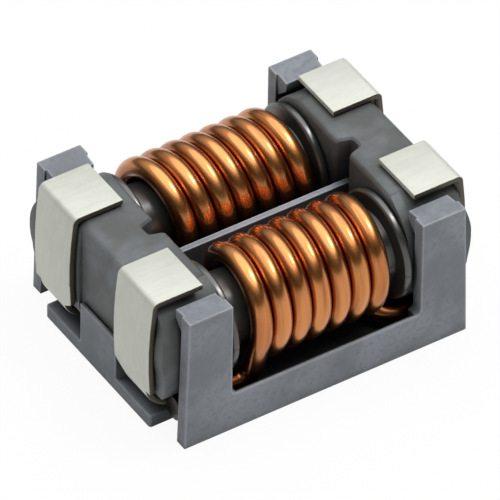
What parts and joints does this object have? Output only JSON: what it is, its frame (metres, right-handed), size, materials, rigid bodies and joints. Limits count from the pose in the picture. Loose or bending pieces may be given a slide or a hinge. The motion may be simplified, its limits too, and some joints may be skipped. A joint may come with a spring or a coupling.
{
  "type": "common mode choke",
  "caption": "Surface-mount common mode choke: mirrored enamelled windings on a closed ferrite core, bent solder terminals, and a moulded clip-fit cover with side windows.",
  "frame": {"origin": "centre of the cover's flat outer face, on which the part lies as pictured", "axes": "+X along the winding axes, +Y from the front winding to the rear one, +Z from the cover's outer face to the solder pads"},
  "size_m": [0.0092, 0.007, 0.0043],
  "materials": {
    "moulded_cover": "matte",
    "ferrite": "matte",
    "bobbin": "gloss",
    "enamelled_copper": "gloss",
    "tinned_terminal": "satin",
    "weld_metal": "satin",
    "epoxy": "satin"
  },
  "bodies": {
    "root": {"cover": "moulded_cover", "ferrite_core": "ferrite", "bobbin_upper_front": "bobbin", "bobbin_lower_front": "bobbin", "winding_front": "enamelled_copper", "terminal_front_left": "tinned_terminal", "terminal_bond_front_left": "epoxy", "weld_bead_front_left": "weld_metal", "terminal_front_right": "tinned_terminal", "terminal_bond_front_right": "epoxy", "weld_bead_front_right": "weld_metal", "bobbin_upper_rear": "bobbin", "bobbin_lower_rear": "bobbin", "winding_rear": "enamelled_copper", "terminal_rear_left": "tinned_terminal", "terminal_bond_rear_left": "epoxy", "weld_bead_rear_left": "weld_metal", "terminal_rear_right": "tinned_terminal", "terminal_bond_rear_right": "epoxy", "weld_bead_rear_right": "weld_metal", "cover_bond_left": "epoxy", "cover_bond_right": "epoxy"}
  },
  "joints": []
}
